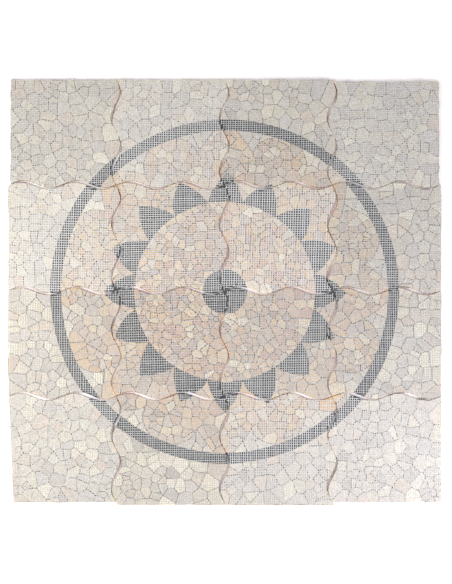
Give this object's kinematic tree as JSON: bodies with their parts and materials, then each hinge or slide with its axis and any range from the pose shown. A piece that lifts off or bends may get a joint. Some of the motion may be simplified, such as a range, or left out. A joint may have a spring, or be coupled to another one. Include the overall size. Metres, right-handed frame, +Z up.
{
  "type": "mosaic panel",
  "caption": "Square panel of flat crazy-cut stone with a dark ring, sun rays and rosette, laid as interlocking wavy-edged mesh-backed sheets.",
  "frame": {"origin": "centre of the picture on the underside of the stones, which is the surface that the panel lies on", "axes": "+Z up out of the meshed picture face, +X to the right of the picture, +Y to its top"},
  "size_m": [1.2068, 1.1832, 0.0084],
  "materials": {
    "pale_stone": "cut and brushed cream and grey limestone, matt",
    "peach_stone": "cut and brushed peach limestone, matt",
    "amber_stone": "cut and brushed amber and rose limestone, matt",
    "dark_stone": "cut charcoal basalt, matt"
  },
  "bodies": {
    "root": {"sheet_a1_field_stones": "pale_stone", "sheet_a1_ground_stones": "peach_stone", "sheet_a1_ring_stones": "dark_stone", "sheet_a2_field_stones": "pale_stone", "sheet_a2_ground_stones": "peach_stone", "sheet_a2_rays_stones": "dark_stone", "sheet_a2_ring_stones": "dark_stone", "sheet_a3_field_stones": "pale_stone", "sheet_a3_ground_stones": "peach_stone", "sheet_a3_rays_stones": "dark_stone", "sheet_a3_ring_stones": "dark_stone", "sheet_a4_field_stones": "pale_stone", "sheet_a4_ground_stones": "peach_stone", "sheet_a4_ring_stones": "dark_stone", "sheet_b1_field_stones": "pale_stone", "sheet_b1_ground_stones": "peach_stone", "sheet_b1_rays_stones": "dark_stone", "sheet_b1_ring_stones": "dark_stone", "sheet_b2_centre_stones": "dark_stone", "sheet_b2_disc_stones": "amber_stone", "sheet_b2_ground_stones": "peach_stone", "sheet_b2_rays_stones": "dark_stone", "sheet_b3_centre_stones": "dark_stone", "sheet_b3_disc_stones": "amber_stone", "sheet_b3_ground_stones": "peach_stone", "sheet_b3_rays_stones": "dark_stone", "sheet_b4_field_stones": "pale_stone", "sheet_b4_ground_stones": "peach_stone", "sheet_b4_rays_stones": "dark_stone", "sheet_b4_ring_stones": "dark_stone", "sheet_c1_field_stones": "pale_stone", "sheet_c1_ground_stones": "peach_stone", "sheet_c1_rays_stones": "dark_stone", "sheet_c1_ring_stones": "dark_stone", "sheet_c2_centre_stones": "dark_stone", "sheet_c2_disc_stones": "amber_stone", "sheet_c2_ground_stones": "peach_stone", "sheet_c2_rays_stones": "dark_stone", "sheet_c3_centre_stones": "dark_stone", "sheet_c3_disc_stones": "amber_stone", "sheet_c3_ground_stones": "peach_stone", "sheet_c3_rays_stones": "dark_stone", "sheet_c4_field_stones": "pale_stone", "sheet_c4_ground_stones": "peach_stone", "sheet_c4_rays_stones": "dark_stone", "sheet_c4_ring_stones": "dark_stone", "sheet_d1_field_stones": "pale_stone", "sheet_d1_ground_stones": "peach_stone", "sheet_d1_ring_stones": "dark_stone", "sheet_d2_field_stones": "pale_stone", "sheet_d2_ground_stones": "peach_stone", "sheet_d2_rays_stones": "dark_stone", "sheet_d2_ring_stones": "dark_stone", "sheet_d3_field_stones": "pale_stone", "sheet_d3_ground_stones": "peach_stone", "sheet_d3_rays_stones": "dark_stone", "sheet_d3_ring_stones": "dark_stone", "sheet_d4_field_stones": "pale_stone", "sheet_d4_ground_stones": "peach_stone", "sheet_d4_ring_stones": "dark_stone"}
  },
  "joints": []
}
